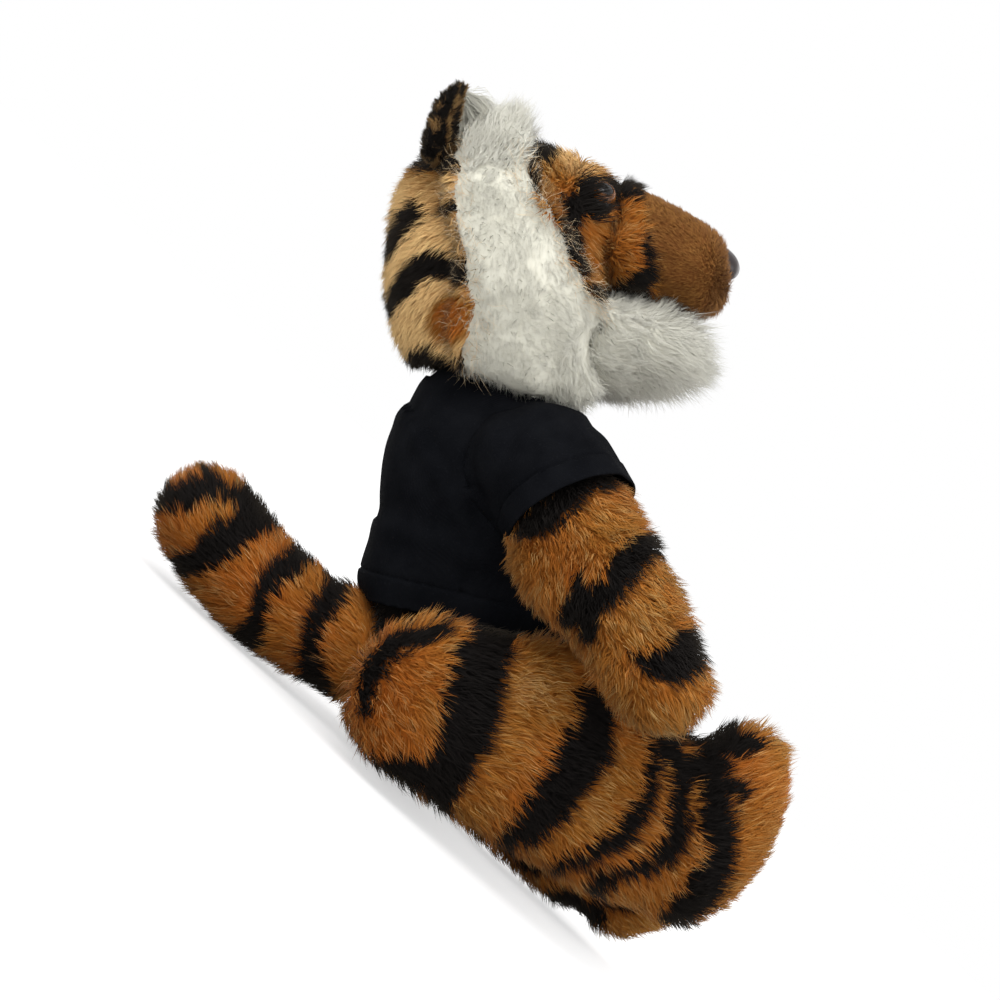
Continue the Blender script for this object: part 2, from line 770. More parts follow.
def pile_mesh(name, stations, widths, attributes, root_normals):
    """One mesh of closed tapered locks. Stations are the points that each lock passes."""
    steps = len(stations) - 1
    count = len(stations[0])
    random = np.random.default_rng(len(name) + count)
    along = unit(stations[1] - stations[0])
    side = unit(np.cross(along, random.normal(size=(count, 3))))
    other = np.cross(along, side)
    rings = []
    for station, width in zip(stations, widths):
        for corner in range(3):
            angle = math.tau * corner / 3
            offset = math.cos(angle) * side + math.sin(angle) * other
            rings.append(station + offset * (width / 2)[:, None])
    rings.append(stations[steps])
    points = np.stack(rings, axis=1)
    per_lock = 3 * steps + 1
    faces = lock_faces(steps)
    corners = (faces[None] + (np.arange(count) * per_lock)[:, None, None]).reshape(-1)
    mesh = bpy.data.meshes.new(name)
    mesh.vertices.add(count * per_lock)
    mesh.vertices.foreach_set("co", points.reshape(-1))
    mesh.loops.add(len(corners))
    mesh.loops.foreach_set("vertex_index", corners.astype(np.int32))
    mesh.polygons.add(len(corners) // 3)
    mesh.polygons.foreach_set("loop_start", np.arange(0, len(corners), 3, dtype=np.int32))
    mesh.update(calc_edges=True)
    shade_smooth(mesh)
    for key, value in attributes.items():
        write_attribute(mesh, key, np.repeat(value, per_lock))
    height = np.concatenate([np.repeat(np.arange(steps) / steps, 3), [1.0]])
    write_attribute(mesh, "height", np.tile(height, count))
    lay_out_pile(mesh, count, faces, steps)
    blended = normal_array(mesh) * 0.2 + np.repeat(root_normals, per_lock, axis=0) * 0.8
    mesh.normals_split_custom_set_from_vertices(unit(blended).tolist())
    return mesh


# Places in a lock's patch of the UV map: the corners of its foot, how far across its sides
# are, where they start and how high they are, and its tip
FOOT_PATCH = ((0.2, 0.02), (0.8, 0.02), (0.5, 0.1))
SIDE_PATCH = (0.15, 0.5, 0.85)
SIDE_START, SIDE_HEIGHT = 0.1, 0.85
TIP_PATCH = (0.5, 0.95)


def lay_out_pile(mesh, count, faces, steps):
    """A small patch of the UV map for each lock, root at its foot and tip at its head."""
    patches = list(FOOT_PATCH)
    for index in faces[1:].ravel():
        if index == 3 * steps:
            patches.append(TIP_PATCH)
        else:
            patches.append((SIDE_PATCH[index % 3], SIDE_START + SIDE_HEIGHT * (index // 3) / steps))
    grid = math.ceil(math.sqrt(count))
    cell = 1 / grid
    origin = np.column_stack([np.arange(count) % grid, np.arange(count) // grid]) * cell
    layout = (np.array(patches)[None] * cell + origin[:, None]).reshape(-1)
    layer = mesh.uv_layers.new(name="OFBake")
    layer.data.foreach_set("uv", layout.astype(np.float32))


# How deep a root is sunk into the skin, and how far above the floor the pile stops: at least
# so much, and up to how much more
ROOT_DEPTH = 0.4 * MM
FLOOR_GAP, FLOOR_SPREAD = 0.35 * MM, 0.4 * MM


def grow_pile(root, normal, flow, look, seed):
    """Locks from their roots, as their stations, their widths and their shades.

    Look gives the pile's length, the locks' width and share, their steps and lean, how far
    they sway in waves, by tufts and one by one, and how clumps of a size gather their tips.
    """
    random = np.random.default_rng(seed)
    count = len(root)
    flow = unit(flow - normal * np.sum(flow * normal, axis=1, keepdims=True) + 1e-5)
    sway = np.column_stack([drift(root, 14 * MM, seed + k) for k in range(3)])
    index, number = clump(root, look["clump"])
    tuft = random.normal(size=(number, 3))[index]
    stray = random.normal(size=(count, 3))
    reach = look["pile"] * (0.78 + 0.3 * random.random(count))
    reach = reach * (1 + 0.12 * random.normal(size=number)[index]) * look["share"]
    steps = look["steps"]
    stations = [root - normal * ROOT_DEPTH]
    for step in range(steps):
        bend = 0.55 + 0.75 * step / (steps - 1) if steps > 1 else 0.9
        lean = math.radians(look["lean"] * bend)
        way = normal * math.cos(lean) + flow * math.sin(lean)
        curl = stray if step == 0 else random.normal(size=(count, 3))
        way = unit(way + look["sway"] * sway + look["tuft"] * tuft + look["frizz"] * curl)
        stations.append(stations[-1] + way * (reach / steps)[:, None])
    for step in range(1, steps + 1):
        mean = clump_mean(stations[step], index, number)
        hold = look["gather"] * (step / steps) ** 1.5
        stations[step] = stations[step] + (mean - stations[step]) * hold
    for step in range(1, steps + 1):
        floor = FLOOR_GAP + FLOOR_SPREAD * random.random(count)
        stations[step][:, 2] = np.maximum(stations[step][:, 2], floor)
    widths = []
    for step in range(steps):
        taper = 1 - 0.55 * step / steps
        widths.append(look["width"] * taper * (0.75 + 0.5 * random.random(count)))
    shade = 0.5 + 0.14 * random.normal(size=count) + 0.14 * random.normal(size=number)[index]
    return stations, widths, np.clip(shade, 0, 1)


# Each kind of fur: its slot, and its material
HEAD_FUR = ("head_fur", "striped_body_pile")
BODY_FUR = ("body_fur", "striped_body_pile")
WHITE_FUR = ("white_fur", "white_pile")
SNOUT_FUR = ("muzzle_fur", "snout_pile")

# How each kind of pile stands: steps, lean, sway, tuft, frizz, gather and clump
LOOK_KEYS = ("steps", "lean", "sway", "tuft", "frizz", "gather", "clump")
LOOKS = {
    "body": (2, 50, 0.2, 0.14, 0.10, 0.3, 4.2 * MM),
    "head": (2, 50, 0.16, 0.12, 0.12, 0.28, 3.2 * MM),
    "snout": (2, 50, 0.15, 0.10, 0.12, 0.25, 2 * MM),
    "ruff": (2, 58, 0.5, 0.25, 0.5, 0.1, 5 * MM),
    "beard": (2, 46, 0.35, 0.2, 0.3, 0.15, 6 * MM),
    "ear": (2, 38, 0.18, 0.2, 0.18, 0.35, 3 * MM),
    "lid": (3, 36, 0.1, 0.15, 0.12, 0.2, 3 * MM),
    "stray": (3, 55, 0.2, 0.3, 0.9, 0.0, 3 * MM),
}

# Roots scattered on a form, before those that something covers are left out, and their seed
ROOTS = {
    "head": (53000, 3),
    "lid": (60000, 6),
    "muzzle": (23000, 7),
    "chin": (14500, 9),
    "ruff": (21000, 11),
    "temple": (32000, 17),
    "tuft": (40000, 30),
    "strays": (4200, 27),
    "cheek": (27000, 13),
    "ear": (10000, 15),
    "ear_lining": (24000, 34),
    "arm": (24000, 21),
    "leg": (35000, 25),
    "tail": (23000, 31),
    "body": (26000, 35),
}

# Each coat: its fur, how it stands, which of the panel's piles it has and how many times it
# (without a pile, times is the length), its seed, its locks' width where it isn't the panel's,
# and how many of its locks are nap
Coat = namedtuple("Coat", "fur look pile times seed width nap", defaults=(None, 0.7))
COATS = {
    "head": Coat(HEAD_FUR, "head", "head_pile", 1, 5),
    "lid": Coat(HEAD_FUR, "lid", None, 16 * MM, 24, 0.5 * MM, 0.3),
    "muzzle": Coat(SNOUT_FUR, "snout", "snout_pile", 1, 8, 0.5 * MM),
    "brow": Coat(HEAD_FUR, "head", "head_pile", 1, 14),
    "beard": Coat(WHITE_FUR, "beard", "ruff_pile", 2, 10, 0.27 * MM, 0.6),
    "ruff": Coat(WHITE_FUR, "ruff", "ruff_pile", 0.7, 12, 0.24 * MM, 0.75),
    "temple": Coat(HEAD_FUR, "head", "head_pile", 1, 29),
    "tuft": Coat(WHITE_FUR, "beard", "ruff_pile", 2.2, 31, 0.28 * MM, 0.3),
    "cheek": Coat(WHITE_FUR, "beard", "ruff_pile", 1.4, 20, 0.34 * MM, 0.75),
    "ear": Coat(HEAD_FUR, "ear", "head_pile", 0.55, 18),
    "ear_lining": Coat(WHITE_FUR, "beard", "ruff_pile", 2.6, 19, 0.3 * MM, 0.5),
    "arm": Coat(BODY_FUR, "body", "body_pile", 1, 22),
    "thigh": Coat(BODY_FUR, "body", "body_pile", 1.1, 26),
    "foot": Coat(BODY_FUR, "body", "body_pile", 1, 26),
    "sole": Coat(BODY_FUR, "body", "body_pile", 0.75, 26),
    "tail": Coat(BODY_FUR, "body", "body_pile", 1, 32),
    "body": Coat(BODY_FUR, "body", "body_pile", 1, 38),
}
# Nap is the same pile's straight locks, a little shorter, which fill it up
NAP_PILE = 0.94
# Strays are fine crimped hairs without nap, up to some units of the side view from the seam
STRAY_PILE, STRAY_WIDTH, STRAY_SEED, STRAY_REACH = 13 * MM, 0.15 * MM, 28, 14


def roots_on(piece, which, keep=None):
    """Roots on a piece, with those left out that keep refuses."""
    root, normal = scatter(piece.data, *ROOTS[which])
    if keep is not None:
        kept = keep(root, normal)
        root, normal = root[kept], normal[kept]
    return root, normal


def pile_piece(name, body, fur, root, normal, flow, look, tones, seed, replaced=()):
    """Grows one piece of pile and gives it its finish."""
    stations, widths, shade = grow_pile(root, normal, flow, look, seed)
    attributes = {"black": tones[0], "tan": tones[1], "shade": shade}
    piece = link(name, pile_mesh(name, stations, widths, attributes, normal))
    finish_piece(piece, body, fur, replaced)
    return piece


def coat(name, body, which, root, normal, flow, tones=None, share=None, replaced=()):
    """Grows a coat as two pieces: long bent locks, and a nap of straight ones between them."""
    kind = COATS[which]
    sizes = bpy.context.scene.tiger_fur
    pile = kind.times if kind.pile is None else getattr(sizes, kind.pile) * kind.times
    width = kind.width or sizes.lock_width
    count = len(root)
    black, tan = (np.zeros(count), np.full(count, 0.5)) if tones is None else tones
    share = np.ones(count) if share is None else share
    flow = np.broadcast_to(flow, root.shape)
    straight = np.random.default_rng(kind.seed + 100).random(count) < kind.nap
    for suffix, part in (("", ~straight), ("_nap", straight)):
        if not part.any():
            continue
        look = dict(zip(LOOK_KEYS, LOOKS[kind.look]), pile=pile, width=width, share=share[part])
        if suffix:
            look.update(steps=1, pile=pile * NAP_PILE)
        pile_piece(
            name + suffix, body, kind.fur, root[part], normal[part], flow[part], look,
            (black[part], tan[part]), kind.seed, replaced,
        )
        replaced = ()


# Materials


def shader_material(name, **settings):
    """A new material and its shader, with some of the shader's inputs set."""
    material = bpy.data.materials.new(name)
    material.use_nodes = True
    tree = material.node_tree
    shader = tree.nodes["Principled BSDF"]
    set_inputs(shader, **settings)
    return material, tree, shader


def set_inputs(node, **settings):
    """Sets a node's inputs, whose names are given with _ for each blank."""
    for key, value in settings.items():
        node.inputs[key.replace("_", " ")].default_value = value


def plug(tree, value, socket):
    if isinstance(value, bpy.types.NodeSocket):
        tree.links.new(value, socket)
    elif isinstance(value, (int, float)):
        socket.default_value = value
    else:
        socket.default_value = (*tuple(value)[:3], 1.0)


def colour_mix(tree, factor, first, second):
    """A colour between two, each a colour or a socket."""
    node = tree.nodes.new("ShaderNodeMix")
    node.data_type = "RGBA"
    plug(tree, factor, node.inputs["Factor"])
    for value, socket in ((first, node.inputs[6]), (second, node.inputs[7])):
        plug(tree, value, socket)
    return node.outputs[2]


def attribute(tree, name):
    node = tree.nodes.new("ShaderNodeAttribute")
    node.attribute_name = name
    return node.outputs["Fac"]


def noise(tree, size, detail=3.0, stretch=(1, 1, 1)):
    """Noise on the toy's own coordinates, with grains of a size in metres."""
    where = tree.nodes.new("ShaderNodeTexCoord")
    turn = tree.nodes.new("ShaderNodeMapping")
    turn.inputs["Scale"].default_value = stretch
    tree.links.new(where.outputs["Object"], turn.inputs["Vector"])
    grains = tree.nodes.new("ShaderNodeTexNoise")
    set_inputs(grains, Scale=1 / size, Detail=detail)
    tree.links.new(turn.outputs["Vector"], grains.inputs["Vector"])
    return grains.outputs["Fac"]


def ramp(tree, factor, low, high, out_low=0.0, out_high=1.0):
    node = tree.nodes.new("ShaderNodeMapRange")
    set_inputs(node, From_Min=low, From_Max=high, To_Min=out_low, To_Max=out_high)
    tree.links.new(factor, node.inputs["Value"])
    return node.outputs["Result"]


def maths(tree, operation, first, second):
    node = tree.nodes.new("ShaderNodeMath")
    node.operation = operation
    for value, socket in ((first, node.inputs[0]), (second, node.inputs[1])):
        plug(tree, value, socket)
    return node.outputs[0]


def times(tree, first, second):
    return maths(tree, "MULTIPLY", first, second)


def scaled(tone, share, rise=0.0):
    """A colour made lighter or darker."""
    return tuple(min(1.0, c * share + rise) for c in tone)


# What a striped piece shows where its white attribute is 1
WHITE_TIPS = linear(196, 193, 178)


def striped_material(name, cream, tips, deep, black):
    """Printed pile: deep at its roots, light at its tips, with the stripes over both."""
    material, tree, shader = shader_material(
        name, Roughness=0.8, Sheen_Weight=0.06, Sheen_Roughness=0.5,
        Sheen_Tint=(1.0, 0.8, 0.55, 1.0), Specular_IOR_Level=0.12,
    )
    height, tan, shade = (attribute(tree, key) for key in ("height", "tan", "shade"))
    base = colour_mix(tree, ramp(tree, tan, 0, 0.5), deep, tips)
    base = colour_mix(tree, ramp(tree, tan, 0.5, 1), base, cream)
    base = colour_mix(tree, ramp(tree, height, 0, 0.8, 0.45, 0), base, deep)
    paler = times(tree, ramp(tree, shade, 0.5, 1, 0, 0.32), height)
    base = colour_mix(tree, paler, base, scaled(cream, 1.3, 0.01))
    mottle = ramp(tree, noise(tree, 3 * MM), 0.35, 0.65)
    darker = times(tree, ramp(tree, shade, 0.35, 0, 0, 0.25), mottle)
    base = colour_mix(tree, darker, base, scaled(deep, 0.55))
    ink = colour_mix(tree, times(tree, shade, height), black, scaled(black, 2.0, 0.002))
    base = colour_mix(tree, attribute(tree, "black"), base, ink)
    base = colour_mix(tree, attribute(tree, "white"), base, WHITE_TIPS)
    plug(tree, base, shader.inputs["Base Color"])
    return material


def plain_pile_material(name, tips, roots, glow=0.0):
    """Pile of one dye, darker at its roots, with stray lighter and darker locks."""
    material, tree, shader = shader_material(
        name, Roughness=0.75, Sheen_Weight=0.05, Specular_IOR_Level=0.12,
        Subsurface_Weight=glow, Subsurface_Radius=(1.0, 0.95, 0.85), Subsurface_Scale=3 * MM,
    )
    height, shade = attribute(tree, "height"), attribute(tree, "shade")
    patches = ramp(tree, noise(tree, 9 * MM), 0.3, 0.7, 0.55, 1.0)
    tipped = times(tree, ramp(tree, height, 0, 0.8, 0.25, 1.0), patches)
    base = colour_mix(tree, tipped, roots, tips)
    base = colour_mix(tree, ramp(tree, shade, 0.35, 0, 0, 0.4), base, scaled(roots, 0.8))
    lighter = times(tree, ramp(tree, shade, 0.6, 1, 0, 0.8), height)
    base = colour_mix(tree, lighter, base, scaled(tips, 1.12))
    plug(tree, base, shader.inputs["Base Color"])
    return material


def bump_under(tree, height, strength, distance, below=None):
    """A bump of some strength over another one."""
    node = tree.nodes.new("ShaderNodeBump")
    set_inputs(node, Strength=strength, Distance=distance)
    tree.links.new(height, node.inputs["Height"])
    if below is not None:
        tree.links.new(below, node.inputs["Normal"])
    return node.outputs["Normal"]


def jersey_material(name, tone):
    """Fine knitted jersey: close ribs, a soft nap and slight wear."""
    material, tree, shader = shader_material(name, Roughness=0.95, Specular_IOR_Level=0.03)
    where = tree.nodes.new("ShaderNodeTexCoord")
    ribs = tree.nodes.new("ShaderNodeTexWave")
    ribs.wave_type = "BANDS"
    ribs.bands_direction = "X"
    set_inputs(ribs, Scale=420, Distortion=0.6)
    tree.links.new(where.outputs["Object"], ribs.inputs["Vector"])
    wear = ramp(tree, noise(tree, 14 * MM, 5.0), 0.35, 0.7)
    base = colour_mix(tree, times(tree, wear, 0.6), tone, scaled(tone, 1.7, 0.002))
    fluff = ramp(tree, noise(tree, 0.9 * MM, 2.0), 0.62, 0.8, 0.0, 0.5)
    base = colour_mix(tree, fluff, base, scaled(tone, 2.4, 0.004))
    plug(tree, base, shader.inputs["Base Color"])
    relief = bump_under(tree, ribs.outputs["Fac"], 0.35, 0.2 * MM)
    relief = bump_under(tree, noise(tree, 1.2 * MM), 0.4, 0.25 * MM, relief)
    tree.links.new(relief, shader.inputs["Normal"])
    return material


def plastic_material(name, tone, roughness, scuffs=0.12):
    """Moulded plastic with faint scuffs."""
    material, tree, shader = shader_material(name)
    marks = ramp(tree, noise(tree, 1.5 * MM, 6.0, (1, 1, 5)), 0.55, 0.75)
    base = colour_mix(tree, times(tree, marks, scuffs), tone, scaled(tone, 0.6, 0.05))
    plug(tree, base, shader.inputs["Base Color"])
    dulled = ramp(tree, marks, 0, 1, roughness, roughness + scuffs)
    tree.links.new(dulled, shader.inputs["Roughness"])
    return material


def floor_material():
    """Pale floor that the camera sees as white, with the toy's shadow on it."""
    material, tree, shader = shader_material(
        "pale_floor", Roughness=0.9, Specular_IOR_Level=0.0, Emission_Color=(1, 1, 1, 1)
    )
    grain = ramp(tree, noise(tree, 0.2), 0.3, 0.7)
    base = colour_mix(tree, grain, (0.47, 0.47, 0.47), (0.49, 0.49, 0.49))
    plug(tree, base, shader.inputs["Base Color"])
    paths = tree.nodes.new("ShaderNodeLightPath")
    seen = ramp(tree, paths.outputs["Is Camera Ray"], 0, 1, 0.0, 0.55)
    tree.links.new(seen, shader.inputs["Emission Strength"])
    return material


MATERIALS = {}


def material_for(name):
    """The finish of that name, made when it is first asked for."""
    if name in MATERIALS:
        return MATERIALS[name]
    fur = bpy.context.scene.tiger_fur
    makers = {
        "striped_body_pile": (striped_material, fur.cream, fur.tan, fur.rust, fur.stripe_black),
        "white_pile": (plain_pile_material, fur.ruff_white, fur.ruff_shade, 0.2),
        "snout_pile": (plain_pile_material, fur.snout_brown, linear(96, 50, 19)),
        "shirt_jersey": (jersey_material, bpy.context.scene.tiger_shirt.jersey),
        "button_black": (plastic_material, linear(14, 12, 12), 0.12, 0.05),
        "iris_brown": (plastic_material, linear(104, 60, 20), 0.1, 0.05),
        "nose_plastic": (plastic_material, linear(34, 24, 23), 0.3, 0.15),
        "washer_plastic": (plastic_material, linear(222, 222, 218), 0.5),
    }
    maker, *settings = makers[name]
    MATERIALS[name] = maker(name, *settings)
    return MATERIALS[name]


def wear(piece, material):
    piece.data.materials.clear()
    piece.data.materials.append(material_for(material))


def finish_piece(piece, body, finish, replaced=()):
    """Gives a piece its slot and material, its body, and the nodes that it stands for."""
    slot, material = finish
    wear(piece, material)
    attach(piece, body)
    if replaced:
        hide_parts(*replaced)


def paint_skin(piece, black=0.0, tan=0.5, white=0.0, height=0.25):
    """The pile's colours on the skin under it."""
    values = {"black": black, "tan": tan, "height": height, "shade": 0.45, "white": white}
    for key, value in values.items():
        write_attribute(piece.data, key, np.broadcast_to(value, len(piece.data.vertices)))
    shade_smooth(piece.data)


# Pieces

# The stuffed forms by name, for the pieces that are made after them
SKINS = {}
MUZZLE_NODES = ("muzzle_skin", "muzzle_stuffing")
# The height in their pile that the white pads' own surface has
PAD_HEIGHT = 0.8


def skin_tree(name):
    mesh = SKINS[name].data
    corners = [vertex.co[:] for vertex in mesh.vertices]
    return BVHTree.FromPolygons(corners, [tuple(face.vertices) for face in mesh.polygons])


class TIGER_OT_head(bpy.types.Operator):
    """Stuffs the head and grows its striped pile"""

    bl_idname = "tiger.head"
    bl_label = "Head"

    def execute(self, context):
        nodes = ("head_skin", "head_stuffing")
        skin = padded_copy("head_form", nodes)
        press_in(skin, depth=4.6 * MM)
        brow = (UP_BODY + FORWARD * 0.6).normalized()
        swell(skin, on_head(32, 42), brow, radius=20 * MM, amount=5 * MM)
        SKINS["head"] = skin
        points = vertex_array(skin.data)
        black, tan = stripes_on(points, "head")
        white = white_share(points)
        paint_skin(skin, np.where(white, 0, black), tan, white)
        finish_piece(skin, "head", HEAD_FUR, nodes)
        self.add_muzzle()
        chin = padded_copy("chin_form", ["chin_beard"], voxel=2.2 * MM, rounding=6)
        press_in(chin, depth=1 * MM)
        ruffle(chin)
        SKINS["chin"] = chin
        covers = [skin_tree("muzzle"), skin_tree("chin")]

        def striped(root, normal):
            return ~white_share(root) & (above(root, NECK) > 22 * MM) & outside(covers, root)

        root, normal = roots_on(skin, "head", striped)
        ahead = ahead_of(root, HEAD)
        for label, part in (("back", ahead < 0), ("face", ahead >= 0)):
            r, n = root[part], normal[part]
            share = 1 + 0.5 * smooth_step(24 * MM, 38 * MM, ahead[part])
            tones = stripes_over(r, n, "head", rise=2)
            coat(f"head_pile_{label}", "head", "head", r, n, head_flow(r, "head"), tones, share)
        for label, side in SIDES:
            self.add_lids(skin, label, side)
        return {"FINISHED"}

    def add_muzzle(self):
        """The muzzle's form, widened where it meets the cheeks and full at its jowls."""
        muzzle = padded_copy("muzzle_form", MUZZLE_NODES, voxel=1.8 * MM, rounding=8)
        press_in(muzzle, depth=2.4 * MM)
        points = vertex_array(muzzle.data)
        normals = normal_array(muzzle.data)
        step = 6 * MM * smooth_step(0.2, 0.7, np.abs(normals[:, 0]))
        step = step * smooth_step(60 * MM, 46 * MM, ahead_of(points, HEAD))
        step = step * smooth_step(24 * MM, 14 * MM, above(points, HEAD))
        set_vertex_array(muzzle.data, points + normals * step[:, None])
        jowl = (FORWARD - UP_BODY * 0.6).normalized()
        swell(muzzle, on_head(86, 4), jowl, radius=18 * MM, amount=4 * MM)
        SKINS["muzzle"] = muzzle

    def add_lids(self, skin, label, side):
        """Longer black pile behind each eye, brushed forward over its rim."""
        eye = middle_of(f"eye_{label}")

        def behind_eye(root, normal):
            gap = root - eye
            away = np.linalg.norm(gap, axis=1)
            behind = gap @ np.array((side, 0.5, -0.1)) > 3 * MM
            return (away > 3 * MM) & (away < 14 * MM) & behind

        root, normal = roots_on(skin, "lid", behind_eye)
        tones = (np.ones(len(root)), np.zeros(len(root)))
        inward = unit(eye - root) * 0.8 + FORWARD_ROW
        coat(f"eye_lid_pile_{label}", "head", "lid", root, normal, inward, tones)


class TIGER_OT_snout(bpy.types.Operator):
    """Grows the snout's short pile and the white beard under it"""

    bl_idname = "tiger.snout"
    bl_label = "Snout and Beard"

    def execute(self, context):
        muzzle, chin = SKINS["muzzle"], SKINS["chin"]
        covers = [skin_tree("head"), skin_tree("muzzle")]
        paint_skin(muzzle)
        paint_skin(chin, height=PAD_HEIGHT)
        finish_piece(muzzle, "head", SNOUT_FUR, MUZZLE_NODES)
        finish_piece(chin, "head", WHITE_FUR, ("chin_beard",))
        root, normal = roots_on(muzzle, "muzzle", lambda r, n: outside(covers[:1], r))
        face = on_face(root)
        r, n = root[~face], normal[~face]
        tones = (np.zeros(len(r)), tan_on_snout(r))
        share = 1 + 0.5 * smooth_step(70 * MM, 88 * MM, ahead_of(r, HEAD))
        coat("muzzle_pile", "head", "muzzle", r, n, -FORWARD_ROW, tones, share)
        r, n = root[face], normal[face]
        tones = stripes_over(r, n, "head")
        share = 0.35 + 0.65 * smooth_step(3 * MM, 12 * MM, nearest_of("eye", r))
        coat("brow_pile", "head", "brow", r, n, head_flow(r, "brow"), tones, share)
        r, n = roots_on(chin, "chin", lambda r, n: outside(covers, r))
        coat("beard_pile", "head", "beard", r, n, head_flow(r, "chin"), share=beard_share(r))
        return {"FINISHED"}


class TIGER_OT_ruffs(bpy.types.Operator):
    """Pads each cheek and covers it with long white fluff"""

    bl_idname = "tiger.ruffs"
    bl_label = "Cheek Ruffs"

    def execute(self, context):
        covers = [skin_tree(name) for name in ("muzzle", "chin", "head")]
        for label, _ in SIDES:
            node = f"cheek_ruff_{label}"
            pad = padded_copy(f"ruff_form_{label}", [node], voxel=2 * MM, rounding=8)
            ruffle(pad)
            paint_skin(pad, height=PAD_HEIGHT)
            finish_piece(pad, "head", WHITE_FUR, (node,))
            r, n = roots_on(pad, "ruff", lambda r, n: outside(covers, r) & white_share(r))
            hang = 1 + 0.7 * smooth_step(36 * MM, 20 * MM, above(r, NECK))
            hang += 0.7 * smooth_step(12 * MM, 34 * MM, ahead_of(r, HEAD))
            coat(f"ruff_pile_{label}", "head", "ruff", r, n, head_flow(r, "ruff"), share=hang)
            self.add_strays(pad, label)
            r, n = roots_on(pad, "temple", lambda r, n: outside(covers, r) & ~white_share(r))
            tones = stripes_over(r, n, "head", rise=2)
            coat(f"temple_pile_{label}", "head", "temple", r, n, head_flow(r, "head"), tones)
            self.add_tuft(pad, label, covers)
        r, n = roots_on(SKINS["head"], "cheek", lambda r, n: white_share(r) & on_cheek(r))
        coat("cheek_pile", "head", "cheek", r, n, head_flow(r, "ruff"))
        return {"FINISHED"}

    def add_tuft(self, pad, label, covers):
        """The long upright fluff in front of the ear."""

        def in_tuft(root, normal):
            return outside(covers, root) & white_share(root) & on_top(root)

        root, normal = roots_on(pad, "tuft", in_tuft)
        upright = np.array((UP_BODY + FORWARD * 0.25).normalized())
        share = 0.3 + 0.7 * smooth_step(*TUFT_FADES, side_view(root)[:, 1])
        coat(f"ruff_tuft_{label}", "head", "tuft", root, normal, upright, share=share)

    def add_strays(self, pad, label):
        """Fine crimped hairs along the seams of the ruff."""
        closed = [*RUFF_OUTLINE, RUFF_OUTLINE[0]]

        def near_seam(root, normal):
            return np.abs(line_distance(side_view(root), closed)) < STRAY_REACH

        root, normal = roots_on(pad, "strays", near_seam)
        outward = np.sign(root - vertex_array(pad.data).mean(axis=0)) * np.array((0, 1, 0))
        look = dict(zip(LOOK_KEYS, LOOKS["stray"]), pile=STRAY_PILE, width=STRAY_WIDTH, share=1)
        tones = (np.zeros(len(root)), np.ones(len(root)))
        piece = pile_piece(
            f"ruff_strays_{label}", "head", HEAD_FUR, root, normal, outward + 0.2 * normal, look,
            tones, STRAY_SEED,
        )
        write_attribute(piece.data, "white", np.full(len(piece.data.vertices), 0.5))


class TIGER_OT_ears(bpy.types.Operator):
    """Makes the ears, mottled behind and white inside"""

    bl_idname = "tiger.ears"
    bl_label = "Ears"

    def execute(self, context):
        cover = skin_tree("head")
        for label, _ in SIDES:
            nodes = (f"ear_{label}", f"ear_lining_{label}")
            opening = unit((middle_of(nodes[1]) - middle_of(nodes[0]))[None])[0]
            ear = padded_copy(f"ear_form_{label}", nodes, voxel=1.3 * MM, rounding=4)
            press_in(ear, depth=1.6 * MM)
            white = front_of_ear(vertex_array(ear.data), normal_array(ear.data), opening)
            paint_skin(ear, ~white, 0.8, white)
            finish_piece(ear, "head", HEAD_FUR, nodes)

            def behind(root, normal):
                return ~inside(cover, root) & ~front_of_ear(root, normal, opening)

            def before(root, normal):
                return ~inside(cover, root) & front_of_ear(root, normal, opening)

            r, n = roots_on(ear, "ear", behind)
            mottle = drift(r, 4 * MM, 16) + 0.8 * drift(r, 1.6 * MM, 17)
            tones = (0.6 + 0.4 * smooth_step(-0.9, 0.1, mottle), np.full(len(r), 0.7))
            coat(f"ear_pile_{label}", "head", "ear", r, n, unit(r - np.array(HEAD)), tones)
            r, n = roots_on(ear, "ear_lining", before)
            coat(f"ear_lining_pile_{label}", "head", "ear_lining", r, n, FORWARD_ROW)
        return {"FINISHED"}


def arm_way(label):
    return Vector(ARM_ROWS[label]).normalized()


class TIGER_OT_arms(bpy.types.Operator):
    """Stuffs the arms and grows their striped pile below the sleeves"""

    bl_idname = "tiger.arms"
    bl_label = "Arms"

    def execute(self, context):
        for label, side in SIDES:
            body = f"arm_{label}"
            nodes = (f"arm_skin_{label}", f"arm_stuffing_{label}")
            arm = padded_copy(f"arm_form_{label}", nodes)
            press_in(arm, 5.5 * MM, ["shirt_front", "shirt_back"], near=4 * MM, reach=6 * MM)
            way = arm_way(label)
            elbow = way.cross(Vector((side, 0, 0))).normalized()
            elbow *= -math.copysign(1, elbow.z)
            centre = SHOULDER[label] + way * 42 * MM + elbow * 22 * MM
            swell(arm, centre, elbow, radius=24 * MM, amount=9 * MM)
            SKINS[body] = arm
            paint_skin(arm, *stripes_on(vertex_array(arm.data), "arm"))
            finish_piece(arm, body, BODY_FUR, nodes)
            along = ARM_ROWS[label]
            joint = np.array(SHOULDER[label])
            r, n = roots_on(arm, "arm", lambda r, n: (r - joint) @ along > 18 * MM)
            coat(f"arm_pile_{label}", body, "arm", r, n, along, stripes_over(r, n, "arm"))
        return {"FINISHED"}


def over_leg(label, side, aside, along, rise):
    """A place some millimetres aside, along a leg and square to it, and the way up there."""
    turn = LEG_RAISE[label]
    ahead = Vector((side * aside * MM, -math.cos(turn) * along * MM, math.sin(turn) * along * MM))
    up = Vector((0, math.sin(turn), math.cos(turn)))
    return HIP + ahead + up * rise * MM, up


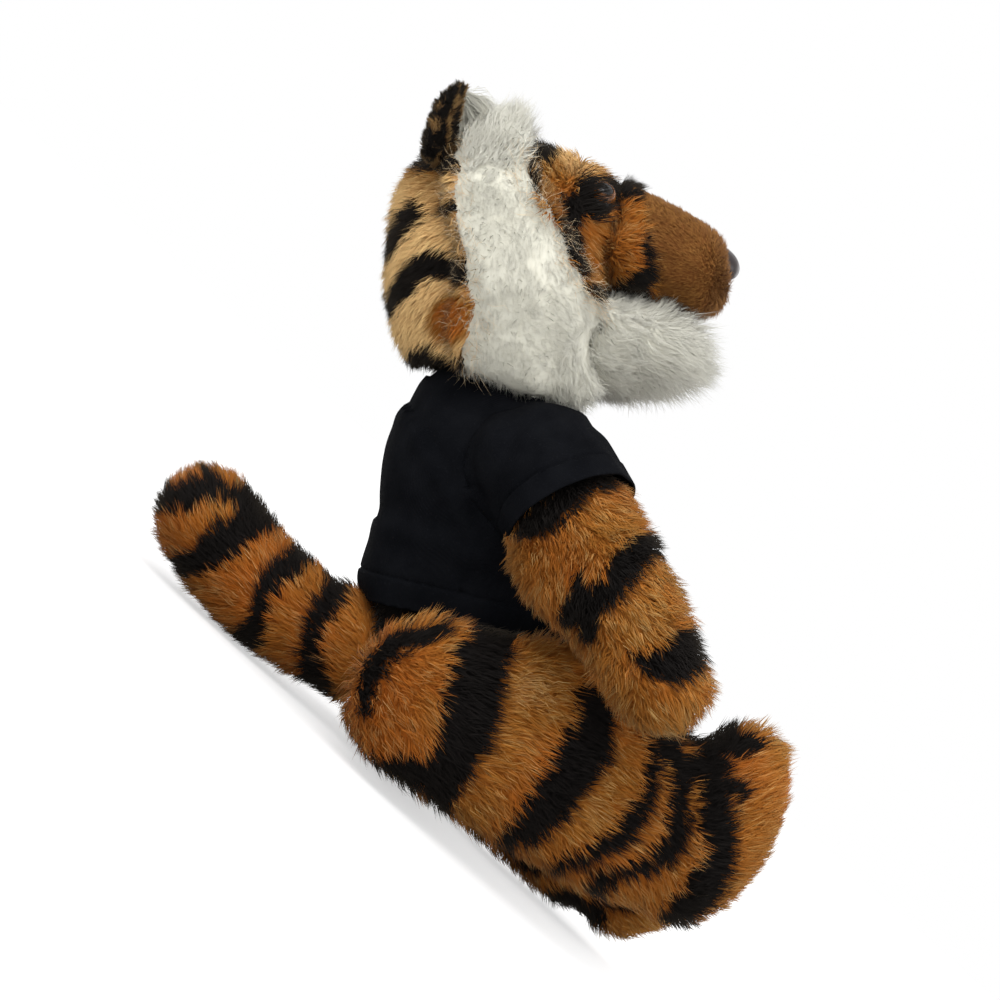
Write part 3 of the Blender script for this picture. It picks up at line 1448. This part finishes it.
class TIGER_OT_legs(bpy.types.Operator):
    """Stuffs the legs and feet and grows their pile"""

    bl_idname = "tiger.legs"
    bl_label = "Legs"

    def execute(self, context):
        for label, side in SIDES:
            body = f"leg_{label}"
            nodes = (f"leg_skin_{label}", f"leg_stuffing_{label}")
            leg = padded_copy(f"leg_form_{label}", [*nodes, f"sole_{label}"])
            press_in(leg, 6.2 * MM, ["torso_skin", "tail_skin"])
            knee, up = over_leg(label, side, 38, 68, 30)
            swell(leg, knee, up, radius=26 * MM, amount=8 * MM)
            lap, up = over_leg(label, side, 36, 42, 34)
            swell(leg, lap, up, radius=24 * MM, amount=10.5 * MM)
            paint_skin(leg, *stripes_on(vertex_array(leg.data), "leg", label))
            finish_piece(leg, body, BODY_FUR, nodes)
            SKINS[body] = leg
            root, normal = roots_on(leg, "leg")
            along = leg_rows(label)[0]
            reach = (root - np.array(HIP)) @ along
            sole = (normal @ along > 0.72) & (reach > 126 * MM)
            pressed = smooth_step(0, 6 * MM, distances(["torso_skin"], root, 12 * MM))
            share = 0.3 + 0.7 * pressed
            parts = (
                ("thigh", ~sole & (reach <= 62 * MM), ()),
                ("foot", ~sole & (reach > 62 * MM), ()),
                ("sole", sole, (f"sole_{label}",)),
            )
            for which, part, replaced in parts:
                r, n = root[part], normal[part]
                black, tan = stripes_over(r, n, "leg", label)
                if which == "sole":
                    black = black * 0
                coat(
                    f"{which}_pile_{label}", body, which, r, n, leg_flow(r, label), (black, tan),
                    share[part], replaced,
                )
        return {"FINISHED"}


class TIGER_OT_tail(bpy.types.Operator):
    """Stuffs the tail and grows its pile"""

    bl_idname = "tiger.tail"
    bl_label = "Tail"

    def execute(self, context):
        nodes = ("tail_skin", "tail_stuffing")
        tail = padded_copy("tail_form", nodes)
        press_in(tail, 6.2 * MM, ["torso_skin", "leg_skin_right", "leg_skin_left"])
        SKINS["tail"] = tail
        paint_skin(tail, *stripes_on(vertex_array(tail.data), "tail"))
        finish_piece(tail, "tail", BODY_FUR, nodes)
        r, n = roots_on(tail, "tail", lambda r, n: r[:, 1] > TAIL_SEAM.y - 14 * MM)
        share = 0.35 + 0.65 * smooth_step(0, 9 * MM, distances(["torso_skin"], r, 12 * MM))
        coat("tail_pile", "tail", "tail", r, n, tail_flow(r), stripes_over(r, n, "tail"), share)
        return {"FINISHED"}


class TIGER_OT_body(bpy.types.Operator):
    """Stuffs the body and grows the pile that shows below the shirt"""

    bl_idname = "tiger.body"
    bl_label = "Body"

    def execute(self, context):
        nodes = ("torso_skin", "torso_stuffing", "pellet_bag", "neck_stuffing")
        near = ["leg_skin_right", "leg_skin_left", "tail_skin"]
        body = padded_copy("body_form", nodes[:3])
        press_in(body, 4.5 * MM, near)
        points = vertex_array(body.data)
        height = above(points, HIP)
        belly = smooth_step(70 * MM, 34 * MM, height) * smooth_step(-12 * MM, 10 * MM, height)
        belly *= (
            smooth_step(10 * MM, 30 * MM, ahead_of(points, HIP))
            * smooth_step(32 * MM, 20 * MM, np.abs(points[:, 0]))
        )
        set_vertex_array(body.data, points + (10 * MM * belly)[:, None] * FORWARD_ROW)
        SKINS["body"] = body
        points = vertex_array(body.data)
        black, tan = stripes_on(points, "body")
        paint_skin(body, np.maximum(black, under_hem(points)), tan)
        finish_piece(body, "torso", BODY_FUR, nodes)
        limbs = [skin_tree(name) for name in ("leg_right", "leg_left", "tail")]

        def below_shirt(root, normal):
            return (above(root, HIP) < 44 * MM) & outside(limbs, root)

        r, n = roots_on(body, "body", below_shirt)
        bands = np.sin(r[:, 2] * 150 + 1.2 * drift(r, 20 * MM, 36)) + 0.45
        black = np.maximum(1 - smooth_step(-0.25, 0.05, bands), under_hem(r))
        tan = np.clip(0.55 + 0.3 * drift(r, 18 * MM, 37), 0, 1)
        share = 0.5 + 0.5 * smooth_step(0, 9 * MM, distances(near, r, 12 * MM))
        coat("body_pile", "torso", "body", r, n, -UP_ROW, (black, tan), share)
        return {"FINISHED"}


# Where the shirt ends, and where its body meets its sleeves
HEM_HEIGHT = 33 * MM
COLLAR_ANGLE = math.radians(36)
SLEEVE_REACH = 24 * MM
ARMHOLE = 45 * MM
SLEEVE_SPAN = 60 * MM
# The sleeve's hem, as a share of the hem round the waist
SLEEVE_HEM = 0.95

# Folds that the side view shows, as lines across and down, with how sharp and how deep they are
SHIRT_FOLDS = (
    (((419, 420), (447, 473), (468, 513), (500, 560)), 9.0, 1.7),
    (((432, 384), (455, 440), (470, 480)), 12.0, 1.1),
    (((520, 380), (505, 410), (500, 440)), 11.0, 1.2),
    (((385, 520), (430, 530), (470, 545)), 12.0, 1.0),
    (((480, 500), (500, 530), (520, 590)), 9.0, 1.3),
    (((590, 420), (570, 435), (545, 470)), 10.0, 1.0),
)


class TIGER_OT_shirt(bpy.types.Operator):
    """Sews the T-shirt: its body, its sleeves and its neckband"""

    bl_idname = "tiger.shirt"
    bl_label = "T-shirt"

    def execute(self, context):
        sizes = context.scene.tiger_shirt
        nodes = ["torso_skin", "torso_stuffing", "shirt_front", "shirt_back"]
        clips = {}
        for label, _ in SIDES:
            arm = (f"arm_skin_{label}", f"arm_stuffing_{label}")
            way = arm_way(label)
            end = SHOULDER[label] + way * (SLEEVE_REACH + 7 * MM)
            clips.update({node: (end, way) for node in arm})
            nodes += [*arm, f"sleeve_{label}"]
        cloth = padded_copy("shirt_cloth", nodes, 2.4 * MM, 4, clips)
        fill_creases(cloth, 7 * MM)
        trim_shirt(cloth, sizes.hem)
        drape_shirt(cloth, sizes)
        split_shirt(cloth, sizes)
        add_neckband()
        return {"FINISHED"}


def fill_creases(piece, reach):
    """Rounds off the inside corners of a form, as cloth does that spans them."""
    mesh = piece.data
    set_vertex_array(mesh, vertex_array(mesh) + normal_array(mesh) * reach)
    apply_modifier(piece, "Grown", "REMESH", mode="VOXEL", voxel_size=2.4 * MM)
    largest_island(mesh)
    apply_modifier(piece, "Eased", "SMOOTH", factor=0.5, iterations=12)
    set_vertex_array(mesh, vertex_array(mesh) - normal_array(mesh) * (reach - 0.4 * MM))
    apply_modifier(piece, "Settled", "SMOOTH", factor=0.5, iterations=3)


def hem_cuts(hem):
    """How far from a hem's edge the cloth gets extra edges: at its fold and at its seam."""
    return 0, 1.2 * MM, hem - 0.8 * MM, hem, hem + 0.8 * MM


def trim_shirt(cloth, hem):
    """Cuts the hem, the neck and the sleeves' ends, with extra edges where the hems are sewn."""
    shape = bmesh.new()
    shape.from_mesh(cloth.data)
    hem_point = HIP + UP_BODY * HEM_HEIGHT
    sleeve_ends = []
    for label, side in SIDES:
        way = arm_way(label)
        sleeve_ends.append((side, SHOULDER[label] + way * SLEEVE_REACH, way))
    for _, side in SIDES:
        bisect(shape, Vector((side * ARMHOLE, 0, 0)), Vector((1, 0, 0)))
    for rise in hem_cuts(hem):
        bisect(shape, hem_point + UP_BODY * rise, UP_BODY, lambda centre: abs(centre.x) < ARMHOLE)
    for side, end, way in sleeve_ends:

        def near_end(centre):
            return centre.x * side > ARMHOLE and (centre - end).length < 50 * MM

        for back in hem_cuts(hem * SLEEVE_HEM):
            bisect(shape, end - way * back, way, near_end)
    gone = []
    for face in shape.faces:
        centre = face.calc_center_median()
        beyond = any(
            centre.x * side > ARMHOLE and (centre - end).dot(way) > 0
            for side, end, way in sleeve_ends
        )
        from_neck = centre - NECK
        in_collar = from_neck.length > 20 * MM and from_neck.angle(UP_BODY) < COLLAR_ANGLE
        below = (centre - hem_point).dot(UP_BODY) < 0
        if beyond or in_collar or below:
            gone.append(face)
    bmesh.ops.delete(shape, geom=gone, context="FACES")
    part = shape.faces.layers.int.new("part")
    for face in shape.faces:
        centre = face.calc_center_median()
        for label, side in SIDES:
            if centre.x * side > ARMHOLE and (centre - SHOULDER[label]).length < SLEEVE_SPAN:
                face[part] = round(side)
    shape.to_mesh(cloth.data)
    shape.free()
    largest_island(cloth.data)


def bell(values, middle, width):
    """1 at a middle, falling off to both sides over a width."""
    return np.exp(-(((values - middle) / width) ** 2))


def hem_step(reach, hem, rise, groove):
    """How far a hem stands out at some reach from its edge, with a groove at its seam."""
    turned_up = smooth_step(hem + 0.4 * MM, hem - 0.8 * MM, reach)
    return rise * turned_up - groove * bell(reach, hem, 0.6 * MM)


def drape_shirt(cloth, sizes):
    """Hangs the shirt: loose at its hem, with folds, and thicker where its hems are turned up."""
    mesh = cloth.data
    points = vertex_array(mesh)
    normals = normal_array(mesh)
    on_body = np.abs(points[:, 0]) < ARMHOLE
    height = above(points, HIP)
    ahead = ahead_of(points, HIP)
    loose = smooth_step(86 * MM, 40 * MM, height) * on_body
    step = 0.5 * MM + sizes.looseness * loose
    around = np.arctan2(points[:, 0], ahead)
    step += 1.3 * MM * loose * np.sin(around * 7 + 1.2 * drift(points, 60 * MM, 51))
    step += 0.8 * MM * drift(points * np.array((1.0, 1.0, 0.5)), 18 * MM, 52)
    places = side_view(points)
    for line, spread, depth in SHIRT_FOLDS:
        gap = line_distance(places, line)
        ridge = bell(gap, 0.6 * spread, spread) - 0.9 * bell(gap, -0.7 * spread, spread)
        step += depth * MM * 0.95 * ridge
    back = smooth_step(55 * MM, 90 * MM, height) * smooth_step(10 * MM, -15 * MM, ahead)
    step += 3.6 * MM * back * smooth_step(125 * MM, 105 * MM, height)
    moved = points + normals * step[:, None]
    front = smooth_step(75 * MM, 36 * MM, height) * smooth_step(0, 25 * MM, ahead) * loose
    moved += FORWARD_ROW * (12 * MM * front)[:, None]
    turned_up = hem_step(height - HEM_HEIGHT, sizes.hem, 0.5 * MM, 0.7 * MM)
    moved += normals * (on_body * turned_up)[:, None]
    for label, side in SIDES:
        reach = SLEEVE_REACH - (points - np.array(SHOULDER[label])) @ np.array(arm_way(label))
        on_sleeve = points[:, 0] * side > ARMHOLE
        turned_up = hem_step(reach, sizes.hem * SLEEVE_HEM, 0.6 * MM, 0.8 * MM)
        moved += normals * (on_sleeve * turned_up)[:, None]
    set_vertex_array(mesh, moved)


def split_shirt(cloth, sizes):
    """Parts the sleeves from the body at the armholes and gives all three their thickness."""
    pieces = {}
    for key, side in (("body", 0), ("right", -1), ("left", 1)):
        part = bmesh.new()
        part.from_mesh(cloth.data)
        place = part.faces.layers.int["part"]
        others = [face for face in part.faces if face[place] != side]
        bmesh.ops.delete(part, geom=others, context="FACES")
        part.faces.layers.int.remove(place)
        piece = piece_from("shirt_body" if key == "body" else f"shirt_sleeve_{key}", part)
        largest_island(piece.data)
        shade_smooth(piece.data)
        area = sum(polygon.area for polygon in piece.data.polygons)
        apply_modifier(
            piece, "Cloth", "SOLIDIFY", thickness=sizes.cloth, offset=-1.0, use_even_offset=False
        )
        piece.data.materials.append(material_for("shirt_jersey"))
        pieces[key] = (piece, area)
    bpy.data.objects.remove(cloth)
    body, area = pieces["body"]
    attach(body, "torso")
    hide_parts("shirt_front", "shirt_back")
    for label, side in SIDES:
        piece, area = pieces[label]
        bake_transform(piece)
        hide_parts(f"sleeve_{label}")


# The neckband's section, as millimetres from the neck's middle and degrees from the body's axis
NECKBAND = ((47.4, 33), (49.4, 33.6), (50.2, 36.5), (49.6, 39.6), (47.6, 40.2), (47, 36.5))
NECKBAND_RIBS = 96
RIB_HEIGHT = 0.25 * MM


def add_neckband():
    """A ribbed band round the neck opening, swept round the body's axis."""
    across = Vector((1, 0, 0))
    depth = UP_BODY.cross(across)
    shape = bmesh.new()
    rings = []
    for k in range(NECKBAND_RIBS):
        angle = math.tau * k / NECKBAND_RIBS
        out = across * math.cos(angle) + depth * math.sin(angle)
        rib = RIB_HEIGHT * (k % 2)
        ring = []
        for radius, spread in NECKBAND:
            tilt = math.radians(spread)
            way = out * math.sin(tilt) + UP_BODY * math.cos(tilt)
            ring.append(shape.verts.new(NECK + way * (radius * MM + rib)))
        rings.append(ring)
    for first, second in zip(rings, rings[1:] + rings[:1]):
        for j in range(len(NECKBAND)):
            after = (j + 1) % len(NECKBAND)
            shape.faces.new((first[j], first[after], second[after], second[j]))
    bmesh.ops.recalc_face_normals(shape, faces=shape.faces)
    piece = piece_from("shirt_neckband", shape)
    apply_modifier(piece, "Round", "SUBSURF", levels=1, render_levels=1)
    shade_smooth(piece.data)
    finish_piece(piece, "torso", ("shirt_jersey", "shirt_jersey"), ("neckband",))


# A button's side, from under its rim to the top of its dome, and the brown ring over its dome,
# as shares of its radius and its dome's height
BUTTON_PROFILE = (
    (0.55, -0.3), (0.86, -0.22), (0.97, 0.0), (1.0, 0.22), (0.965, 0.42), (0.86, 0.66),
    (0.66, 0.85), (0.36, 0.97), (0.0, 1.0),
)
IRIS_PROFILE = ((0.56, 0.93), (0.62, 0.915), (0.74, 0.83), (0.86, 0.7), (0.84, 0.6), (0.6, 0.82))
BUTTON_SIDES = 48
# The nose is wider than high
NOSE_STRETCH = 1.4


class TIGER_OT_face(bpy.types.Operator):
    """Sets the eyes and the nose"""

    bl_idname = "tiger.face"
    bl_label = "Face"

    def execute(self, context):
        for label, _ in SIDES:
            seat = button_seat(f"eye_{label}", f"eye_washer_{label}", 0.8 * MM)
            button = turned(f"eye_button_{label}", BUTTON_PROFILE, seat)
            finish_piece(button, "head", ("black_plastic", "button_black"), (f"eye_{label}",))
            iris = turned(f"eye_iris_{label}", IRIS_PROFILE, seat, closed=True)
            finish_piece(iris, "head", ("black_plastic", "iris_brown"))
        seat = button_seat("nose", "nose_washer", 1.6 * MM, NOSE_STRETCH)
        nose = turned("nose_button", BUTTON_PROFILE, seat, NOSE_STRETCH)
        finish_piece(nose, "head", ("black_plastic", "nose_plastic"), ("nose",))
        for name in ("eye_washer_right", "eye_washer_left", "nose_washer"):
            wear(NODES[name], "washer_plastic")
        return {"FINISHED"}


def button_seat(node, washer, sink, stretch=1.0):
    """The way that a button faces, its middle, its radius and its dome's height."""
    points = vertex_array(NODES[node].data)
    top = points[np.argmax(np.linalg.norm(points - middle_of(washer), axis=1))]
    out = unit((top - points.mean(axis=0))[None])[0]
    top = points[np.argmax(points @ out)]
    aside = np.linalg.norm(np.cross(points - top, out), axis=1)
    wide = points[aside > 0.6 * aside.max()]
    dome = ((top - wide) @ out).max()
    out = Vector(out)
    return out, Vector(top) - out * (dome + sink), aside.max() / stretch, dome


def turned(name, profile, seat, stretch=1.0, closed=False):
    """A moulded piece turned round a button's axis. A closed profile makes a ring."""
    out, base, radius, dome = seat
    turn = out.to_track_quat("Z", "Y").to_matrix()
    shape = bmesh.new()
    rings = []
    for share, rise in profile:
        ring = []
        for k in range(BUTTON_SIDES if share else 1):
            angle = math.tau * k / BUTTON_SIDES
            across = math.cos(angle) * radius * share * stretch
            place = Vector((across, math.sin(angle) * radius * share, rise * dome))
            ring.append(shape.verts.new(turn @ place + base))
        rings.append(ring)
    if closed:
        rings.append(rings[0])
    for low, high in zip(rings, rings[1:]):
        for k in range(BUTTON_SIDES):
            after = (k + 1) % BUTTON_SIDES
            ends = (high[after], high[k]) if len(high) > 1 else high
            shape.faces.new((low[k], low[after], *ends))
    if not closed:
        shape.faces.new(rings[0][::-1])
    bmesh.ops.recalc_face_normals(shape, faces=shape.faces)
    piece = piece_from(name, shape)
    shade_smooth(piece.data)
    return piece


# The lamps: place, size and power
LAMPS = {
    "key": ((-0.9, 0.55, 1.0), 0.9, 10.0),
    "fill": ((0.9, -0.9, 0.7), 1.0, 4.0),
    "front": ((-0.7, -1.0, 0.5), 0.8, 3.0),
}
LAMP_AIM = Vector((0, 0, 0.12))


class TIGER_OT_stage(bpy.types.Operator):
    """Sets the floor, the lamps and the camera"""

    bl_idname = "tiger.stage"
    bl_label = "Stage"

    def execute(self, context):
        sizes = context.scene.tiger_stage
        deselect_all()
        bpy.ops.mesh.primitive_plane_add(size=sizes.floor_size, location=(0, 0, 0))
        floor = bpy.context.object
        floor.name = "floor"
        floor.data.materials.append(floor_material())
        self.add_world(context.scene)
        for name, (place, size, power) in LAMPS.items():
            light = bpy.data.lights.new(name, "AREA")
            light.size = size
            light.energy = power
            lamp = link(name, light)
            lamp.location = place
            aim = LAMP_AIM - Vector(place)
            lamp.rotation_euler = aim.to_track_quat("-Z", "Y").to_euler()
        camera = link("camera", bpy.data.cameras.new("camera"))
        camera.data.sensor_width = 36
        camera.data.lens = sizes.focal_length
        camera.data.clip_start = 0.05
        camera.data.clip_end = 50
        up = Vector((0, math.sin(VIEW_TURN), math.cos(VIEW_TURN)))
        right = Vector((0, -math.cos(VIEW_TURN), math.sin(VIEW_TURN)))
        turn = Matrix((right, up, Vector((-1, 0, 0)))).transposed()
        place = Matrix.Translation((-VIEW_DISTANCE, VIEW_Y, VIEW_Z))
        camera.matrix_world = place @ turn.to_4x4()
        context.scene.camera = camera
        context.scene.view_settings.view_transform = "Standard"
        return {"FINISHED"}

    def add_world(self, scene):
        """A white world, brighter for the toy than for the camera and its reflections."""
        world = bpy.data.worlds.new("studio")
        world.use_nodes = True
        scene.world = world
        tree = world.node_tree
        background = tree.nodes["Background"]
        set_inputs(background, Color=(1.0, 1.0, 1.0, 1.0))
        paths = tree.nodes.new("ShaderNodeLightPath")
        rays = (paths.outputs[f"Is {kind} Ray"] for kind in ("Camera", "Glossy"))
        strength = ramp(tree, maths(tree, "MAXIMUM", *rays), 0, 1, 1.4, 1.0)
        tree.links.new(strength, background.inputs["Strength"])


class TIGER_PT_panel(bpy.types.Panel):
    """Lists the tiger's sizes and pieces"""

    bl_label = "Plush Tiger"
    bl_idname = "TIGER_PT_panel"
    bl_space_type = "VIEW_3D"
    bl_region_type = "UI"
    bl_category = "Plush Tiger"

    def draw(self, context):
        scene = context.scene
        for group in (scene.tiger_fur, scene.tiger_shirt, scene.tiger_stage):
            box = self.layout.box()
            for key in group.__annotations__:
                box.prop(group, key)
        for step in STEPS:
            self.layout.operator(step.bl_idname)


STEPS = (
    TIGER_OT_head,
    TIGER_OT_snout,
    TIGER_OT_ruffs,
    TIGER_OT_ears,
    TIGER_OT_arms,
    TIGER_OT_legs,
    TIGER_OT_tail,
    TIGER_OT_body,
    TIGER_OT_shirt,
    TIGER_OT_face,
    TIGER_OT_stage,
)
CLASSES = (FurSizes, ShirtSizes, StageSizes, *STEPS, TIGER_PT_panel)


def register():
    for item in CLASSES:
        bpy.utils.register_class(item)
    bpy.types.Scene.tiger_fur = bpy.props.PointerProperty(type=FurSizes)
    bpy.types.Scene.tiger_shirt = bpy.props.PointerProperty(type=ShirtSizes)
    bpy.types.Scene.tiger_stage = bpy.props.PointerProperty(type=StageSizes)


def unregister():
    for name in ("tiger_fur", "tiger_shirt", "tiger_stage"):
        delattr(bpy.types.Scene, name)
    for item in reversed(CLASSES):
        bpy.utils.unregister_class(item)


def main():
    register()
    for step in STEPS:
        area, name = step.bl_idname.split(".")
        getattr(getattr(bpy.ops, area), name)()


if __name__ == "__main__":
    main()
